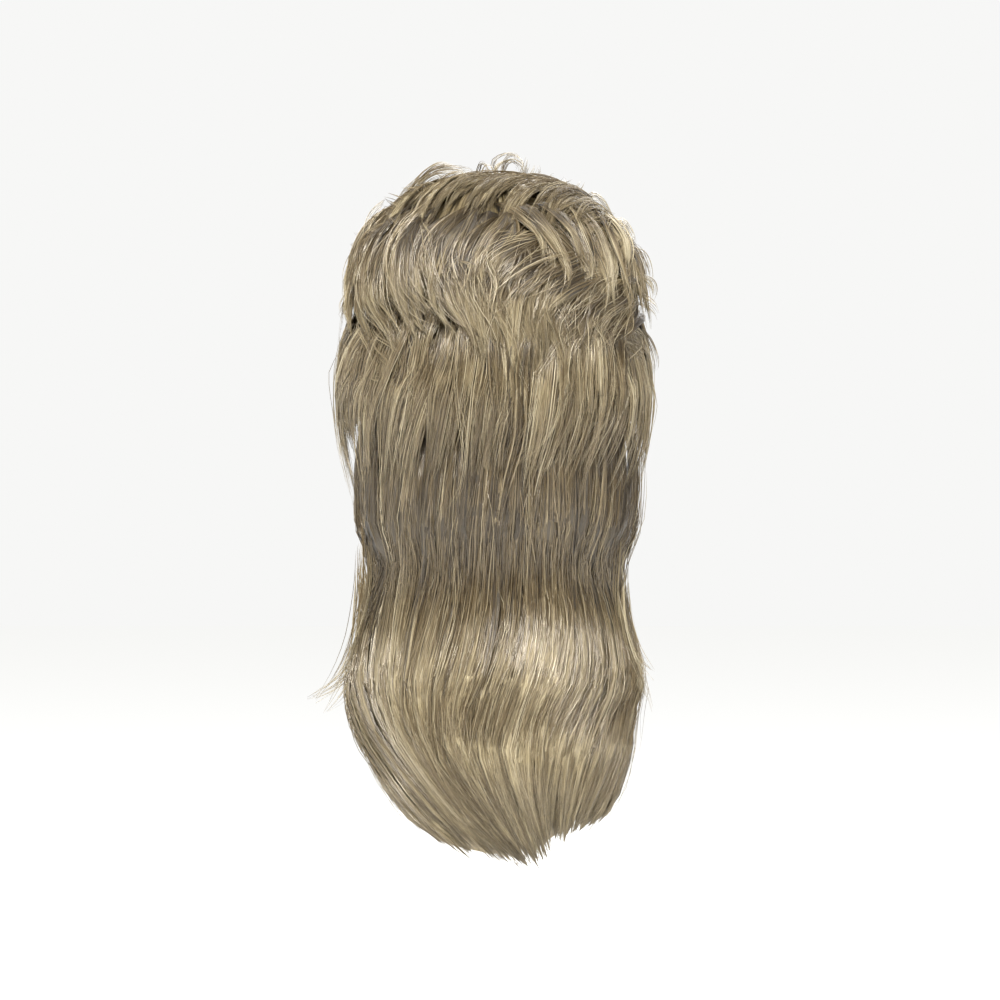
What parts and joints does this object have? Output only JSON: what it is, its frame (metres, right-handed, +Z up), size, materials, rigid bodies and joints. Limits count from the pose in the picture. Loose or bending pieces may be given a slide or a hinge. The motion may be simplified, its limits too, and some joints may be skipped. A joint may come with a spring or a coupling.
{
  "type": "mullet wig",
  "caption": "Ash-blond mullet wig: a stretch cap with a short teased crown, side layers, a fringe and a long tail over the neck.",
  "frame": {"origin": "inside of the cap at the crown, where the wig sits on the top of a head", "axes": "+Z up, +Y the way the wearer faces, +X the wearer's right"},
  "size_m": [0.2466, 0.2436, 0.4932],
  "materials": {
    "crown_fibre": "ash-blond synthetic fibre with a soft gloss, teased",
    "layer_fibre": "ash-blond synthetic fibre with a soft gloss, straight",
    "tail_fibre": "ash-blond synthetic fibre with a soft gloss, in long waves",
    "cap_net": "matt knitted stretch net"
  },
  "bodies": {
    "root": {"wig_cap": "cap_net", "crown_hair": "crown_fibre", "back_hair": "layer_fibre", "left_side_hair": "layer_fibre", "right_side_hair": "layer_fibre", "fringe_hair": "layer_fibre", "tail_hair": "tail_fibre"}
  },
  "joints": []
}
